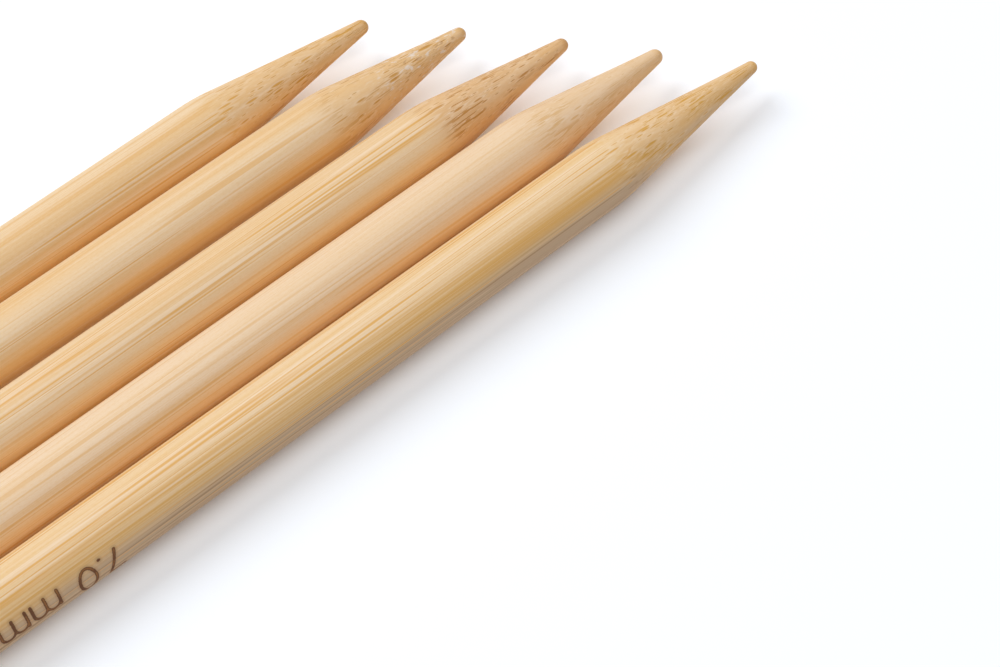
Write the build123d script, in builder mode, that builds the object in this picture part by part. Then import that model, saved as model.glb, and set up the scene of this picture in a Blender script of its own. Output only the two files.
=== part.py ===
"""A set of five double-pointed bamboo knitting needles, lying loose side by side.

Each needle is one straight turned rod: a plain round shaft with the same long point at both ends.
X runs along the needles and Y across them, from needle_5 at the front to needle_1 at the back.
They lie on the plane Z = 0, and the origin is the middle of the set's footprint. Millimetres.
"""

import os
from math import radians, sin, tan

from build123d import *

# The size that the needles are sold by
SHAFT_DIAMETER = 7.0
NEEDLE_LENGTH = 200.0  # from tip to tip

# The soft bend where a shaft runs into its point
SHOULDER_RADIUS = 25.0

# The free space between one shaft and the next. A gauge ring with a 0.5 mm wall still passes.
CLEARANCE = 0.6
WIDER_CLEARANCE = 1.2

# The points are dressed by hand, so no two needles are quite alike: the radius of the rounded
# tips and the half angle of the cones in degrees. The set lies fanned out lengthwise, each
# needle's tips a little behind those of needle_5, and clear of the needle behind it.
NEEDLES = {
    "needle_1": {"tip_radius": 0.85, "half_angle": 7.8, "setback": 26.2, "behind": 0.0},
    "needle_2": {"tip_radius": 0.83, "half_angle": 9.0, "setback": 19.3, "behind": CLEARANCE},
    "needle_3": {"tip_radius": 0.80, "half_angle": 9.0, "setback": 12.4, "behind": WIDER_CLEARANCE},
    "needle_4": {"tip_radius": 0.88, "half_angle": 8.9, "setback": 6.2, "behind": CLEARANCE},
    "needle_5": {"tip_radius": 0.71, "half_angle": 8.05, "setback": 0.0, "behind": CLEARANCE},
}

SHAFT_RADIUS = SHAFT_DIAMETER / 2
SET_LENGTH = NEEDLE_LENGTH + max(needle["setback"] for needle in NEEDLES.values())
SET_WIDTH = sum(SHAFT_DIAMETER + needle["behind"] for needle in NEEDLES.values())

os.makedirs("parts", exist_ok=True)

back_y = SET_WIDTH / 2  # the back of the free space that the next needle lies in
for name, needle in NEEDLES.items():
    cone_angle = radians(needle["half_angle"])
    # Where the cones would meet the axis if their tips were sharp, and the shaft if it had no bend
    sharp_tip = NEEDLE_LENGTH / 2 + needle["tip_radius"] * (1 / sin(cone_angle) - 1)
    shoulder = sharp_tip - SHAFT_RADIUS / tan(cone_angle)

    middle_x = (SET_LENGTH - NEEDLE_LENGTH) / 2 - needle["setback"]
    axis_y = back_y - needle["behind"] - SHAFT_RADIUS
    middle = (middle_x, axis_y, SHAFT_RADIUS)

    with BuildPart() as rod:
        with BuildSketch(Plane(middle, x_dir=(1, 0, 0), z_dir=(0, -1, 0))) as outline:
            with BuildLine():
                Polyline(
                    (-sharp_tip, 0),
                    (-shoulder, SHAFT_RADIUS),
                    (shoulder, SHAFT_RADIUS),
                    (sharp_tip, 0),
                    (shoulder, -SHAFT_RADIUS),
                    (-shoulder, -SHAFT_RADIUS),
                    close=True,
                )
            make_face()
            _, tips, _ = outline.vertices().group_by(Axis.Y)
            fillet(tips, needle["tip_radius"])
            corners = outline.vertices().group_by(Axis.Y)
            fillet(corners[0] + corners[-1], SHOULDER_RADIUS)
            split(bisect_by=Plane.XZ, keep=Keep.BOTTOM)  # half of it, to turn about the axis
        revolve(axis=Axis(middle, (1, 0, 0)))

    rod.part.label = name
    export_step(rod.part, f"parts/{name}.step")
    back_y = axis_y - SHAFT_RADIUS
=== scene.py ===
from math import cos, radians, sin

import bpy
from mathutils import Matrix, Vector


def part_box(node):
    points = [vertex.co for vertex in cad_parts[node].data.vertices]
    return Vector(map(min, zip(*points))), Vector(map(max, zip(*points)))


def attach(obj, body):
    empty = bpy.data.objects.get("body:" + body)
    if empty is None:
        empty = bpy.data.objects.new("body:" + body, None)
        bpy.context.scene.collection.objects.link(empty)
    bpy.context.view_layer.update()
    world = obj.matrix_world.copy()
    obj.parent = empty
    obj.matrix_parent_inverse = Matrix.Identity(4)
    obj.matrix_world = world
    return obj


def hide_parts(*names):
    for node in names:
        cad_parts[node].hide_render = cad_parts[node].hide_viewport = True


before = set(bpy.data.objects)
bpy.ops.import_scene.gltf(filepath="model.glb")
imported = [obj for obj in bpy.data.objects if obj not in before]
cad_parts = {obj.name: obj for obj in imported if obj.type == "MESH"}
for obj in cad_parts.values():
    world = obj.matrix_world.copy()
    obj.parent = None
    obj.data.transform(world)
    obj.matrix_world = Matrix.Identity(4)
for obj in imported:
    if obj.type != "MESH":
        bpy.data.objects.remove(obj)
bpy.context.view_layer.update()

# ---- The camera --------------------------------------------------------------------------------
# A long lens held over the front halves of the needles, on the side where needle_5 lies. It looks
# down at about 57 degrees, and the needles run up to the right.

MM = 0.001
CAMERA_PLACE = Vector((-15.92, -141.01, 226.60)) * MM
CAMERA_AIM = Vector((73.65, -21.36, 0.0)) * MM
CAMERA_ROLL = radians(-4.16)
CAMERA_LENS = 100  # in millimetres, and so is the width of the frame behind it
CAMERA_FRAME_WIDTH = 36
CAMERA_NEAREST = 10 * MM

camera = bpy.data.objects.new("camera", bpy.data.cameras.new("camera"))
camera.data.lens = CAMERA_LENS
camera.data.sensor_width = CAMERA_FRAME_WIDTH
camera.data.clip_start = CAMERA_NEAREST
aim = (CAMERA_AIM - CAMERA_PLACE).to_track_quat("-Z", "Y").to_matrix()
aim_and_roll = (aim @ Matrix.Rotation(CAMERA_ROLL, 3, "Z")).to_quaternion()
camera.matrix_world = Matrix.LocRotScale(CAMERA_PLACE, aim_and_roll, None)
bpy.context.scene.collection.objects.link(camera)
bpy.context.scene.camera = camera

# ---- The needles -------------------------------------------------------------------------------
# Five loose rods, each turned from one stick of split bamboo, with a long cone at both ends that is
# rounded at its tip and bends softly into the shaft. They are pointed and sanded by hand, waxed to
# a low sheen and burned with their size, so their tips, cones, grain and marks all differ.

SHOULDER_RADIUS = 25 * MM
POINT_REACH = 23 * MM  # a little more than the longest point
POINT_FULL = 0.7 * POINT_REACH  # nearer the tip than this, the wear of a point is full

# How finely a needle's surface is divided: the sides round it, the rings over each point and over
# each bare stretch of shaft, and how far apart the rings are under the mark
SIDES = 216
POINT_RINGS = 88
SHAFT_RINGS = 12
MARK_RING_GAP = 0.14 * MM

# Tip radius in millimetres and half angle in degrees, where the mark faces round the shaft, how the
# bark side of the stick is turned, and which stretch of bamboo it is
NEEDLES = {
    "needle_1": {"tip": 0.85, "half_angle": 7.8, "mark_turn": -95, "roll": 200, "seed": 1.0},
    "needle_2": {"tip": 0.83, "half_angle": 9.0, "mark_turn": 190, "roll": 75, "seed": 2.0},
    "needle_3": {"tip": 0.80, "half_angle": 9.0, "mark_turn": -60, "roll": 310, "seed": 3.0},
    "needle_4": {"tip": 0.88, "half_angle": 8.9, "mark_turn": 170, "roll": 150, "seed": 4.0},
    "needle_5": {"tip": 0.71, "half_angle": 8.05, "mark_turn": 60, "roll": 300, "seed": 5.0},
}

# The bamboo of a common needle, and then what is different in each of the five. After the colours
# come the depth in the stick, in millimetres, where the finer fibre bundles of the bark side begin,
# and how strongly each kind of figure and wear shows.
BAMBOO = {
    "pale": (0.86, 0.575, 0.275, 1),
    "cream": (0.92, 0.68, 0.41, 1),
    "warm": (0.83, 0.50, 0.19, 1),
    "line": (0.76, 0.36, 0.05, 1),
    "dash": (0.60, 0.26, 0.02, 1),
    "point": (0.81, 0.475, 0.185, 1),
    "bark": 1.0,
    "streaks": 0.3,
    "threads": 0.85,
    "bundles": 0.85,
    "nicks": 0.85,
    "inner_side": 0.0,
    "torn": 0.0,
}
OWN_BAMBOO = {
    "needle_1": {"dash": (0.64, 0.28, 0.015, 1), "bark": 0.5, "streaks": 0.4},
    "needle_2": {"bark": 1.5, "streaks": 0.15, "threads": 0.6, "nicks": 0.6, "torn": 1.0},
    "needle_3": {
        "dash": (0.54, 0.22, 0.025, 1),
        "point": (0.76, 0.40, 0.145, 1),
        "bark": -0.5,
        "threads": 0.9,
        "nicks": 0.9,
    },
    "needle_4": {
        "pale": (0.88, 0.60, 0.32, 1),
        "warm": (0.86, 0.555, 0.255, 1),
        "dash": (0.72, 0.37, 0.09, 1),
        "point": (0.84, 0.535, 0.26, 1),
        "bark": 2.0,
        "streaks": 0.12,
        "threads": 0.45,
        "bundles": 0.6,
        "nicks": 0.55,
    },
    "needle_5": {
        "pale": (0.86, 0.565, 0.255, 1),
        "warm": (0.83, 0.495, 0.165, 1),
        "dash": (0.68, 0.31, 0.02, 1),
        "point": (0.83, 0.51, 0.23, 1),
        "bark": 0.5,
        "threads": 0.9,
        "bundles": 0.9,
        "inner_side": 0.85,
    },
}
# Painted bounce light: a warm orange laid on the flanks and underside of every needle
PAINTED_BOUNCE_ORANGE = (0.92, 0.52, 0.115, 1)
# The cane's inner side, grey-brown, and darker still with painted shade for the underside it lies on
SHADED_INNER_SIDE = (0.505, 0.335, 0.20, 1)
INNER_LINE = (0.33, 0.18, 0.08, 1)
TORN_FIBRE = (0.88, 0.76, 0.58, 1)
PIT = (0.45, 0.19, 0.04, 1)
SCORCH = (0.46, 0.22, 0.065, 1)
BURN = (0.14, 0.045, 0.012, 1)
LIGHT_BURN = (0.37, 0.14, 0.03, 1)
WAXED_ROUGHNESS = 0.53


class Wire:
    """One output of a node. Arithmetic with wires adds the Math nodes that work it out."""

    def __init__(self, tree, socket):
        self.tree = tree
        self.socket = socket

    def __add__(self, other):
        return self.tree.math("ADD", self, other)

    def __sub__(self, other):
        return self.tree.math("SUBTRACT", self, other)

    def __rsub__(self, other):
        return self.tree.math("SUBTRACT", other, self)

    def __mul__(self, other):
        return self.tree.math("MULTIPLY", self, other)

    def __truediv__(self, other):
        return self.tree.math("DIVIDE", self, other)

    def __rtruediv__(self, other):
        return self.tree.math("DIVIDE", other, self)

    def __neg__(self):
        return self * -1

    def __abs__(self):
        return self.tree.math("ABSOLUTE", self)

    __radd__ = __add__
    __rmul__ = __mul__

    def below(self, limit):
        """1 where the wire is less than the limit, and 0 elsewhere."""
        return self.tree.math("LESS_THAN", self, limit)

    def step(self, start, end):
        """Rise smoothly from 0 at start to 1 at end. With end below start it falls instead."""
        values = {"Value": self, "From Min": start, "From Max": end}
        return self.tree.add("ShaderNodeMapRange", {"interpolation_type": "SMOOTHSTEP"}, values)[0]


class Outputs:
    """The outputs of one node, each a wire, found by name or number."""

    def __init__(self, tree, node):
        self.tree = tree
        self.node = node

    def __getitem__(self, name):
        return Wire(self.tree, self.node.outputs[name])


class Tree:
    """A node tree, for a surface or for a shape, and the ways in which nodes are added to it."""

    def __init__(self, nodes):
        self.nodes = nodes

    def add(self, kind, settings=None, inputs=None):
        """Add a node: its settings first, then a value or a wire for each input named."""
        node = self.nodes.nodes.new(kind)
        for name, value in (settings or {}).items():
            setattr(node, name, value)
        for name, value in (inputs or {}).items():
            if isinstance(value, Wire):
                self.nodes.links.new(value.socket, node.inputs[name])
            else:
                node.inputs[name].default_value = value
        return Outputs(self, node)

    def math(self, operation, *values):
        return self.add("ShaderNodeMath", {"operation": operation}, dict(enumerate(values)))[0]

    def vector(self, operation, *values):
        return self.add("ShaderNodeVectorMath", {"operation": operation}, dict(enumerate(values)))[0]

    def scale(self, vector, factor):
        inputs = {0: vector, "Scale": factor}
        return self.add("ShaderNodeVectorMath", {"operation": "SCALE"}, inputs)[0]

    def turn(self, vector, angle):
        """Turn a vector about the X axis."""
        inputs = {"Vector": vector, "Angle": angle}
        return self.add("ShaderNodeVectorRotate", {"rotation_type": "X_AXIS"}, inputs)[0]

    def combine(self, x=0.0, y=0.0, z=0.0):
        return self.add("ShaderNodeCombineXYZ", {}, {0: x, 1: y, 2: z})[0]

    def split(self, vector):
        parts = self.add("ShaderNodeSeparateXYZ", {}, {0: vector})
        return parts[0], parts[1], parts[2]

    def noise(self, place, along, across, detail=2.0, output=0):
        """Noise that is drawn out along X: its bumps per millimetre along X and across it."""
        stretched = self.vector("MULTIPLY", place, (along, across, across))
        inputs = {"Vector": stretched, "Scale": 1.0, "Detail": detail}
        return self.add("ShaderNodeTexNoise", {}, inputs)[output]


# The needles are cut from one endless stick, each this many millimetres further along it. Its
# bundles become finer over so many millimetres either side of where the bark side begins.
STRETCH = 37.0
BARK_BLEND = 1.2


def place_in_stick(tree, centred, roll, seed):
    """Where in the stick a place in a needle is, in millimetres: X along the fibres, Y towards the
    bark. The place is given from the needle's middle, in millimetres too."""
    return tree.vector("ADD", tree.turn(centred, roll), tree.combine(seed * STRETCH))


def fibre_bundles(tree, stick, bark):
    """How far into a fibre bundle a place is, and how near the pale sheath round one. The bundles
    sway a little on their way, and are finer and closer towards the bark."""
    swayed = stick
    # A long sway and short kinks: their bumps per millimetre, and how far they reach
    for along, across, reach in ((0.012, 0.06, 0.7), (0.12, 0.5, 0.08)):
        drift = tree.noise(stick, along, across, detail=1.0, output="Color")
        drift = tree.vector("SUBTRACT", drift, (0.5, 0.5, 0.5))
        swayed = tree.vector("ADD", swayed, tree.vector("MULTIPLY", drift, (0, reach, reach)))
    _, depth, side = tree.split(swayed)
    section = tree.combine(depth, side)
    crowding = tree.noise(stick, along=0.05, across=0.35, detail=1.0).step(0.35, 0.6) * 0.7 + 0.5

    def layer(spacing, size):
        """Bundles this far apart, and about this thick, in millimetres. Each has its own size."""
        cells = tree.add(
            "ShaderNodeTexVoronoi",
            {"voronoi_dimensions": "2D", "feature": "F1"},
            {"Vector": section, "Scale": 1 / spacing, "Randomness": 0.9},
        )
        from_heart = cells["Distance"] * spacing
        chance = tree.split(cells["Color"])[0]
        reach = (chance * chance + 0.4) * crowding * size
        return from_heart.step(reach, reach * 0.45), from_heart.step(reach * 2.0, reach * 1.2)

    near_bark = depth.step(bark - BARK_BLEND, bark + BARK_BLEND)
    bundle, sheath = layer(spacing=0.66, size=0.14)
    fine_bundle, fine_sheath = layer(spacing=0.4, size=0.11)
    return (
        bundle + near_bark * (fine_bundle - bundle),
        sheath + near_bark * (fine_sheath - sheath),
    )


# How far from a tip each of these begins, and how far from it it is full, in millimetres
POINT_GRAIN = (21, 15)
TEARING = (16, 7)
END_GRAIN = (1.3, 0.2)


def torn_fibres(tree, stick, from_tip, torn):
    """Where sanding across the fibres has torn them near a tip: how fleecy and how pitted."""
    rough = tree.noise(stick, along=0.9, across=2.8, detail=3.0)
    amount = from_tip.step(*TEARING) * torn
    return rough.step(0.56, 0.66) * amount, rough.step(0.38, 0.31) * amount


# The size mark is written in single rounded strokes, which are drawn flat and then wrapped round
# the shaft. Gaps and letters are given for a mark one unit high.
MARK_TEXT = "7.0 mm  20 cm"
MARK_HEIGHT = 3.0 * MM
MARK_FROM_TIP = 82.5 * MM  # from the front tip to the mark's first letter
MARK_MARGIN = MARK_HEIGHT / 4  # what is finely divided on either side of it
LETTER_GAP = 0.22
WORD_GAP = 0.53
# How far from the middle of a stroke each of these begins, and where it is full, in millimetres
SUNK = (0.24, 0.1)
SCORCHED = (0.5, 0.2)
BURNED = (0.21, 0.13)
LIGHTLY_BURNED = (0.12, 0.03)


def arc(middle_x, middle_y, radius_x, radius_y, start, end, steps=16):
    """Points along part of an ellipse, from one angle to another, in degrees."""
    turns = [radians(start + (end - start) * i / steps) for i in range(steps + 1)]
    return [(middle_x + radius_x * cos(t), middle_y + radius_y * sin(t)) for t in turns]


LETTERS = {  # the width of each letter, and its strokes
    "7": (0.55, [[(0, 1), (0.55, 1), (0.2, 0)]]),
    "0": (0.6, [arc(0.3, 0.5, 0.3, 0.5, 0, 360, 32)]),
    ".": (0.02, [[(0, 0.02), (0.02, 0.02)]]),
    "2": (0.55, [arc(0.27, 0.74, 0.26, 0.26, 170, -35) + [(0.02, 0), (0.55, 0)]]),
    "c": (0.5, [arc(0.32, 0.33, 0.3, 0.33, 50, 310, 24)]),
    "m": (
        0.96,
        [
            [(0, 0.64), (0, 0)],
            arc(0.24, 0.4, 0.24, 0.25, 180, 0) + [(0.48, 0)],
            arc(0.72, 0.4, 0.24, 0.25, 180, 0) + [(0.96, 0)],
        ],
    ),
}


def draw_mark(text):
    """Draw the strokes of a text as edges, from x = 0 along y = 0, and measure its length."""
    points, edges = [], []
    pen = 0.0
    for letter in text:
        if letter == " ":
            pen += WORD_GAP
            continue
        width, strokes = LETTERS[letter]
        for stroke in strokes:
            first = len(points)
            points += [((pen + x) * MARK_HEIGHT, y * MARK_HEIGHT, 0) for x, y in stroke]
            edges += [(i, i + 1) for i in range(first, len(points) - 1)]
        pen += width + LETTER_GAP
    mesh = bpy.data.meshes.new("mark strokes")
    mesh.from_pydata(points, edges, [])
    strokes = bpy.data.objects.new("mark strokes", mesh)
    bpy.context.scene.collection.objects.link(strokes)
    return strokes, (pen - LETTER_GAP) * MARK_HEIGHT


mark, mark_length = draw_mark(MARK_TEXT)


def ring_places(length):
    """Where the rings of a needle stand, from its middle: closest at its tips and its mark."""
    half = length / 2
    squares = [(i / POINT_RINGS) ** 2 for i in range(POINT_RINGS + 1)]
    back_point = [-half + POINT_REACH * share for share in squares]
    front_point = [half - POINT_REACH * share for share in reversed(squares)]
    mark_end = half - MARK_FROM_TIP + MARK_MARGIN
    mark_start = mark_end - mark_length - 2 * MARK_MARGIN
    mark_rings = round((mark_end - mark_start) / MARK_RING_GAP)

    def spread(start, end, count):
        return [start + (end - start) * i / count for i in range(1, count)]

    return (
        back_point
        + spread(back_point[-1], mark_start, SHAFT_RINGS)
        + spread(mark_start, mark_end, mark_rings)
        + spread(mark_end, front_point[0], SHAFT_RINGS)
        + front_point
    )


# How deep each kind of wear goes, in millimetres
SANDING = 0.002  # taken off everywhere
WAVE_DEPTH = 0.05
FLAT_DEPTH = 0.06
RIDGE_DEPTH = 0.03
BUNDLE_DEPTH = 0.005
CUT_BUNDLE_DEPTH = 0.014
PIT_DEPTH = 0.03
FLEECE_HEIGHT = 0.015
BURN_DEPTH = 0.03
WEAR_FADES = 0.4  # of the shaft's radius: on thinner wood near a tip the wear fades out

WITHIN = 0.99999  # of the length, so that no tip is rounded to just outside it
WELD = 0.0005 * MM


def needle_tree():
    """The tree that turns a needle's centre line into its surface."""
    group = bpy.data.node_groups.new("turned needle", "GeometryNodeTree")
    sockets = {
        "Centre Line": "NodeSocketGeometry",
        "Middle": "NodeSocketVector",
        "Length": "NodeSocketFloat",
        "Shaft Radius": "NodeSocketFloat",
        "Shoulder Radius": "NodeSocketFloat",
        "Tip Radius": "NodeSocketFloat",
        "Half Angle": "NodeSocketFloat",
        "Sides": "NodeSocketInt",
        "Roll": "NodeSocketFloat",
        "Seed": "NodeSocketFloat",
        "Bark": "NodeSocketFloat",
        "Torn": "NodeSocketFloat",
        "Mark": "NodeSocketObject",
        "Mark From Tip": "NodeSocketFloat",
        "Mark Turn": "NodeSocketFloat",
        "Material": "NodeSocketMaterial",
    }
    for name, kind in sockets.items():
        group.interface.new_socket(name, in_out="INPUT", socket_type=kind)
    group.interface.new_socket("Needle", in_out="OUTPUT", socket_type="NodeSocketGeometry")
    tree = Tree(group)
    given = tree.add("NodeGroupInput")

    # Sweep a circle along the centre line, then give each ring its own radius
    path = tree.add("GeometryNodeMeshToCurve", {}, {"Mesh": given["Centre Line"]})[0]
    circle = tree.add(
        "GeometryNodeCurvePrimitiveCircle",
        {"mode": "RADIUS"},
        {"Resolution": given["Sides"], "Radius": given["Shaft Radius"]},
    )[0]
    tube = tree.add("GeometryNodeCurveToMesh", {}, {"Curve": path, "Profile Curve": circle})[0]
    position = tree.add("GeometryNodeInputPosition")[0]
    centred = tree.vector("SUBTRACT", position, given["Middle"])
    x, y, z = tree.split(centred)
    outwards = tree.vector("NORMALIZE", tree.combine(0.0, y, z))

    # The outline, by the distance from the nearer tip: the tip's ball, the cone and the bend
    from_tip = given["Length"] * 0.5 - abs(x)
    shaft, bend, tip = given["Shaft Radius"], given["Shoulder Radius"], given["Tip Radius"]
    sine, cosine = tree.math("SINE", given["Half Angle"]), tree.math("COSINE", given["Half Angle"])
    cone_start = tip * (1 - sine)
    cone_end = cone_start + (shaft - bend * (1 - cosine) - tip * cosine) * cosine / sine
    shaft_start = cone_end + bend * sine
    ball = tree.math("SQRT", from_tip * (tip * 2 - from_tip))
    cone = tip * cosine + (from_tip - cone_start) * sine / cosine
    into_bend = shaft_start - from_tip
    shoulder = shaft - bend + tree.math("SQRT", bend * bend - into_bend * into_bend)
    radius = shaft
    for limit, shape in ((shaft_start, shoulder), (cone_end, cone), (cone_start, ball)):
        radius = radius + from_tip.below(limit) * (shape - radius)

    # What is worn away, in millimetres: long shallow waves, flats from sanding the points by hand,
    # ridges between fibres, sunken bundles, deeper where they are cut, and torn fibres near a tip
    stick = place_in_stick(tree, tree.scale(centred, 1 / MM), given["Roll"], given["Seed"])
    on_point = from_tip.step(POINT_REACH, POINT_FULL)
    waves = tree.noise(stick, along=0.06, across=0.25, detail=1.0) * WAVE_DEPTH
    flats = tree.noise(stick, along=0.35, across=0.5) * on_point * FLAT_DEPTH
    ridges = tree.noise(stick, along=0.03, across=2.2) * RIDGE_DEPTH
    sinking = on_point * (CUT_BUNDLE_DEPTH - BUNDLE_DEPTH) + BUNDLE_DEPTH
    bundle = fibre_bundles(tree, stick, given["Bark"])[0] * sinking
    fleece, pits = torn_fibres(tree, stick, from_tip * (1 / MM), given["Torn"])
    tears = pits * PIT_DEPTH + (given["Torn"] - fleece) * FLEECE_HEIGHT

    # The mark, wrapped round the shaft: how far each place is from the nearest stroke
    front_turn = tree.math("ARCTAN2", -y, z)
    reading = given["Length"] * 0.5 - given["Mark From Tip"] - x
    height = (front_turn - given["Mark Turn"]) * shaft
    strokes = tree.add("GeometryNodeObjectInfo", {}, {"Object": given["Mark"]})["Geometry"]
    nearest = tree.add(
        "GeometryNodeProximity",
        {"target_element": "EDGES"},
        {"Geometry": strokes, "Sample Position": tree.combine(reading, height)},
    )["Distance"]
    from_stroke = nearest * (1 / MM)
    sunk = from_stroke.step(*SUNK) * BURN_DEPTH

    fading = (radius / shaft).step(0, WEAR_FADES)
    worn = (waves + flats + ridges + bundle + tears + sunk + SANDING) * fading * MM
    ring = tree.scale(outwards, radius - worn)
    axis = tree.vector("ADD", tree.combine(x * WITHIN), given["Middle"])
    moved = {"Geometry": tube, "Position": tree.vector("ADD", axis, ring)}
    surface = tree.add("GeometryNodeSetPosition", {}, moved)[0]
    merging = {"Geometry": surface, "Distance": WELD}
    closed = tree.add("GeometryNodeMergeByDistance", {}, merging)[0]
    marked = tree.add(
        "GeometryNodeStoreNamedAttribute",
        {"data_type": "FLOAT", "domain": "POINT"},
        {"Geometry": closed, "Name": "from_stroke", "Value": from_stroke},
    )[0]
    smooth = tree.add("GeometryNodeSetShadeSmooth", {}, {"Geometry": marked})[0]
    real = tree.add("GeometryNodeRealizeInstances", {}, {"Geometry": smooth})[0]
    dressing = {"Geometry": real, "Material": given["Material"]}
    finished = tree.add("GeometryNodeSetMaterial", {}, dressing)[0]
    tree.add("NodeGroupOutput", {}, {"Needle": finished})
    return group


# Nicks lie on a needle's skin, not through its wood. They are drawn as on a rod of this radius, and
# each needle's are taken from further along it, both in millimetres.
SKIN_RADIUS = 2.5
SKIN_STRETCH = 19.0


def bamboo(name, middle, length, look):
    """The material of one needle: its own stretch of bamboo, in colours and grain of its own.
    Bundles are golden lines where they graze the shaft, and short dashes where a cone cuts them."""
    material = bpy.data.materials.new(name)
    material.use_nodes = True
    material.node_tree.nodes.clear()
    tree = Tree(material.node_tree)

    def mix(factor, first, second):
        """A Mix node, whose colours go in at sockets 6 and 7 and come out at socket 2."""
        inputs = {0: factor, 6: first, 7: second}
        return tree.add("ShaderNodeMix", {"data_type": "RGBA"}, inputs)[2]

    def cover(colour, *coats):
        """Lay coats over a colour, one on another: where each lies, how strong it is, its colour."""
        for where, strength, coat in coats:
            colour = mix(where * strength, colour, coat)
        return colour

    place = tree.add("ShaderNodeTexCoord")["Object"]
    centred = tree.scale(tree.vector("SUBTRACT", place, middle), 1 / MM)
    x, y, z = tree.split(centred)
    outwards = tree.vector("NORMALIZE", tree.combine(0.0, y, z))
    from_tip = length / MM / 2 - abs(x)
    on_point = from_tip.step(*POINT_GRAIN)
    stick = place_in_stick(tree, centred, look["roll"], look["seed"])
    bundle, sheath = fibre_bundles(tree, stick, look["bark"])
    fleece, pits = torn_fibres(tree, stick, from_tip, look["torn"])

    # The ground has soft pale and warm bands, and streaks, hairs and flecks both ways from it
    bands = tree.noise(stick, along=0.006, across=0.45)
    streaks = tree.noise(stick, along=0.005, across=1.8, detail=3.0)
    hairs = tree.noise(stick, along=0.03, across=5.5)
    flecks = tree.noise(stick, along=2.5, across=9.0)
    colour = cover(
        mix(bands.step(0.36, 0.64), look["pale"], look["warm"]),
        (streaks.step(0.53, 0.61), look["streaks"], look["line"]),
        (streaks.step(0.46, 0.36), 0.15, look["cream"]),
        (hairs.step(0.5, 0.7), 0.25, look["line"]),
        (hairs.step(0.45, 0.3), 0.15, look["cream"]),
        (flecks.step(0.5, 0.7), 0.15, look["line"]),
        (flecks.step(0.5, 0.3), 0.1, look["cream"]),
    )

    # A few long golden threads with pale edges, where thin layers of the wood come to the surface.
    # They break off here and there, and more of them do on the points.
    from_layer = abs(tree.noise(stick, along=0.004, across=0.75, detail=1.0) - 0.5)
    unbroken = tree.noise(stick, along=0.03, across=1.5, detail=1.0).step(0.42, 0.58)
    unbroken = unbroken * (1 - on_point * 0.7)
    threads = from_layer.step(0.025, 0.008) * unbroken
    thread_edges = from_layer.step(0.08, 0.04) * unbroken
    colour = cover(
        colour,
        (thread_edges, look["threads"] * 0.35, look["cream"]),
        (threads, look["threads"], look["line"]),
    )

    # The flanks and the underside are painted a deeper orange than the top. This is painted bounce
    # light, the warm glow that light thrown between the needles gives their lower sides. A needle
    # cut from next to the hollow of the cane is grey-brown with dark lines there, darkened further
    # with painted shade where that side lies underneath, and golden up to its bark side.
    facing_up = tree.split(outwards)[2]
    facing_bark = tree.split(tree.turn(outwards, look["roll"]))[1]
    golden = facing_bark.step(0.85, 0.3) * (hairs.step(0.4, 0.6) * 0.55 + 0.25)
    inner_lines = tree.noise(stick, along=0.015, across=3.2).step(0.56, 0.66)
    inner_side_with_shade = mix(inner_lines, SHADED_INNER_SIDE, INNER_LINE)
    colour = cover(
        colour,
        (facing_up.step(0.85, -0.1), 0.5, PAINTED_BOUNCE_ORANGE),
        (golden, look["inner_side"], look["line"]),
        # partly the inner side's own wood, partly painted shade on needle_5's shaded underside
        (facing_bark.step(0.26, -0.34), look["inner_side"], inner_side_with_shade),
    )

    # The points are darker, with clusters of nicks where sanding cut across the fibres, bundles in
    # pale sheaths, torn fibres, and end grain at the tip, which has drunk in more wax
    skin_start = look["seed"] * SKIN_STRETCH
    skin = tree.vector("ADD", tree.scale(outwards, SKIN_RADIUS), tree.combine(x + skin_start))
    cut = tree.noise(skin, along=0.33, across=5.4, detail=1.0)
    clusters = tree.noise(skin, along=0.14, across=0.5, detail=1.0).step(0.42, 0.54) * on_point
    nicks = cut.step(0.57, 0.61) * clusters
    nick_edges = cut.step(0.51, 0.55) * clusters - nicks
    colour = cover(
        colour,
        (on_point, 0.5, look["point"]),
        (clusters, look["nicks"] * 0.2, look["dash"]),
        (from_tip.step(*END_GRAIN), 0.5, look["dash"]),
        (nick_edges, 0.35, look["cream"]),
        (sheath - bundle, 0.25, look["cream"]),
        (nicks, look["nicks"], look["dash"]),
        (bundle, look["bundles"], mix(on_point, look["line"], look["dash"])),
        (fleece, 0.6, TORN_FIBRE),
        (pits, 0.5, PIT),
    )

    # The burned strokes have a scorched rim and a dark edge, and are lighter here and there inside
    from_stroke = tree.add("ShaderNodeAttribute", {"attribute_name": "from_stroke"})["Fac"]
    from_stroke = from_stroke + flecks * 0.12 - 0.06
    burned = from_stroke.step(*BURNED)
    uneven = tree.noise(stick, along=0.8, across=0.8).step(0.44, 0.6)
    lightly = from_stroke.step(*LIGHTLY_BURNED) * uneven
    colour = cover(
        colour,
        (from_stroke.step(*SCORCHED), 0.4, SCORCH),
        (burned, 0.95, mix(lightly * 0.7, BURN, LIGHT_BURN)),
    )

    # Relief that is too fine for the mesh, in millimetres
    relief = hairs * 0.003 + streaks * 0.01 + flecks * 0.001 - (threads + bundle + nicks) * 0.004
    bumping = {"Strength": 1.0, "Distance": MM, "Height": relief - pits * 0.012}
    shader = tree.add(
        "ShaderNodeBsdfPrincipled",
        {},
        {
            "Base Color": colour,
            "Roughness": WAXED_ROUGHNESS - bundle * 0.1 + flecks * 0.1 + burned * 0.35,
            "Normal": tree.add("ShaderNodeBump", {}, bumping)[0],
            "Specular IOR Level": 0.5,
        },
    )[0]
    tree.add("ShaderNodeOutputMaterial", {}, {"Surface": shader})
    return material


turned_needle = needle_tree()
identifiers = {item.name: item.identifier for item in turned_needle.interface.items_tree}

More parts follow.
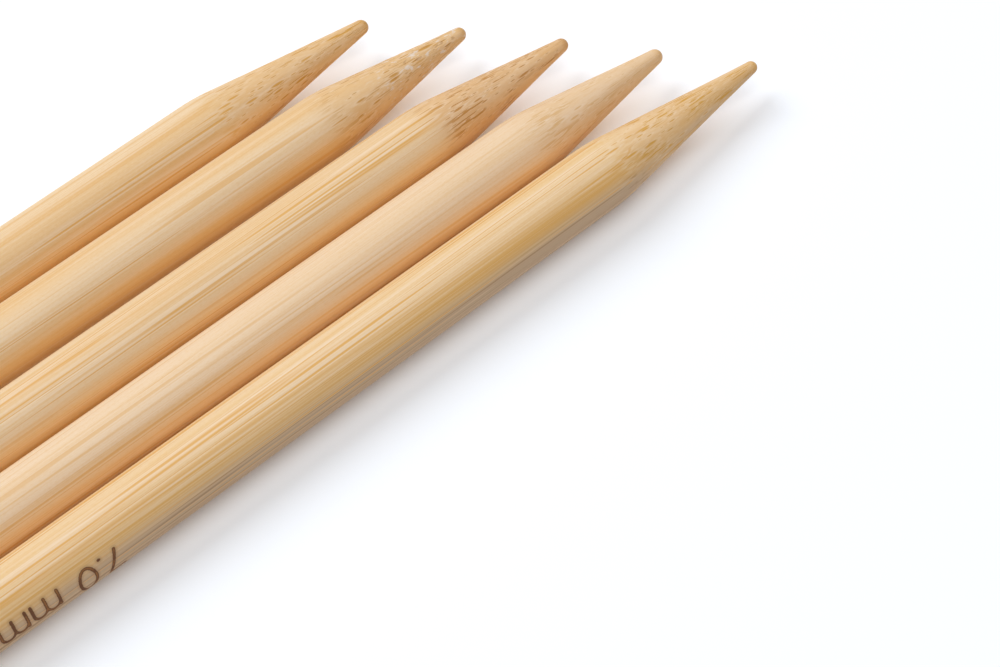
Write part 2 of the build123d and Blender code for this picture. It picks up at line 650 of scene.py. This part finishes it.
for name, needle in NEEDLES.items():
    low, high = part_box(name)
    middle = (low + high) / 2
    length = high.x - low.x
    look = {**BAMBOO, **OWN_BAMBOO[name], "roll": radians(needle["roll"]), "seed": needle["seed"]}

    places = ring_places(length)
    line = bpy.data.meshes.new(name + " centre line")
    points = [middle + Vector((x, 0, 0)) for x in places]
    line.from_pydata(points, [(i, i + 1) for i in range(len(places) - 1)], [])
    blank = bpy.data.objects.new(name + " blank", line)
    bpy.context.scene.collection.objects.link(blank)
    modifier = blank.modifiers.new("turning", "NODES")
    modifier.node_group = turned_needle
    inputs = {
        "Middle": middle,
        "Length": length,
        "Shaft Radius": (high.z - low.z) / 2,
        "Shoulder Radius": SHOULDER_RADIUS,
        "Tip Radius": needle["tip"] * MM,
        "Half Angle": radians(needle["half_angle"]),
        "Sides": SIDES,
        "Roll": look["roll"],
        "Seed": look["seed"],
        "Bark": look["bark"],
        "Torn": look["torn"],
        "Mark": mark,
        "Mark From Tip": MARK_FROM_TIP,
        "Mark Turn": radians(needle["mark_turn"]),
        "Material": bamboo("bamboo " + name, middle, length, look),
    }
    for label, value in inputs.items():
        modifier[identifiers[label]] = value
    evaluated = blank.evaluated_get(bpy.context.evaluated_depsgraph_get())
    mesh = bpy.data.meshes.new_from_object(evaluated)
    bpy.data.objects.remove(blank)
    piece = bpy.data.objects.new("bamboo_" + name, mesh)
    bpy.context.scene.collection.objects.link(piece)
    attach(piece, name)
    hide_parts(name)

bpy.data.objects.remove(mark)

# ---- The table top -----------------------------------------------------------------------------
# The needles lie loose on a wide white translucent sheet. It is lit a little from below, so that
# shadows on it stay pale, and is a warm white under the cool lamps.

TABLE_SIZE = 10.0
TABLE_FINISH = {
    "Base Color": (0.925, 0.88, 0.755, 1),
    "Roughness": 0.9,
    "Specular IOR Level": 0.1,
    "Emission Color": (1, 1, 1, 1),
    "Emission Strength": 0.10,
}

half = TABLE_SIZE / 2
table_mesh = bpy.data.meshes.new("table")
corners = [(-half, -half, 0), (half, -half, 0), (half, half, 0), (-half, half, 0)]
table_mesh.from_pydata(corners, [], [(0, 1, 2, 3)])
table = bpy.data.objects.new("table", table_mesh)
bpy.context.scene.collection.objects.link(table)
white = bpy.data.materials.new("white table top")
white.use_nodes = True
sheet = white.node_tree.nodes["Principled BSDF"]
for socket, value in TABLE_FINISH.items():
    sheet.inputs[socket].default_value = value
table_mesh.materials.append(white)

# ---- The light ---------------------------------------------------------------------------------
# A cool soft lamp stands behind the needles, low enough for their shadows to fall forwards. A
# wider one hangs nearly over them, a little to the front, and dim walls all round fill the rest.

LIT_PLACE = Vector((70, 0, 0)) * MM
# Diameter and distance in metres, power in watts, angle above the table, angle round it from X
# towards Y, in degrees, and colour
LAMPS = {
    "back lamp": (0.8, 1.2, 9.2, 47, 105, (0.89, 1.0, 1.28)),
    "front lamp": (1.2, 1.2, 8.15, 80, -80, (0.93, 1.0, 1.21)),
}
WALL_COLOUR = (0.905, 1.0, 1.25, 1)
WALL_LIGHT = 0.205

for name, (diameter, distance, power, height_angle, side_angle, colour) in LAMPS.items():
    lamp = bpy.data.objects.new(name, bpy.data.lights.new(name, "AREA"))
    lamp.data.shape = "DISK"
    lamp.data.size = diameter
    lamp.data.energy = power
    lamp.data.color = colour
    level = cos(radians(height_angle))
    side = radians(side_angle)
    towards = Vector((level * cos(side), level * sin(side), sin(radians(height_angle))))
    facing = (-towards).to_track_quat("-Z", "Y")
    lamp.matrix_world = Matrix.LocRotScale(LIT_PLACE + towards * distance, facing, None)
    bpy.context.scene.collection.objects.link(lamp)

world = bpy.data.worlds.new("studio")
bpy.context.scene.world = world
world.use_nodes = True
walls = world.node_tree.nodes["Background"]
walls.inputs["Color"].default_value = WALL_COLOUR
walls.inputs["Strength"].default_value = WALL_LIGHT
bpy.context.scene.view_settings.view_transform = "Standard"
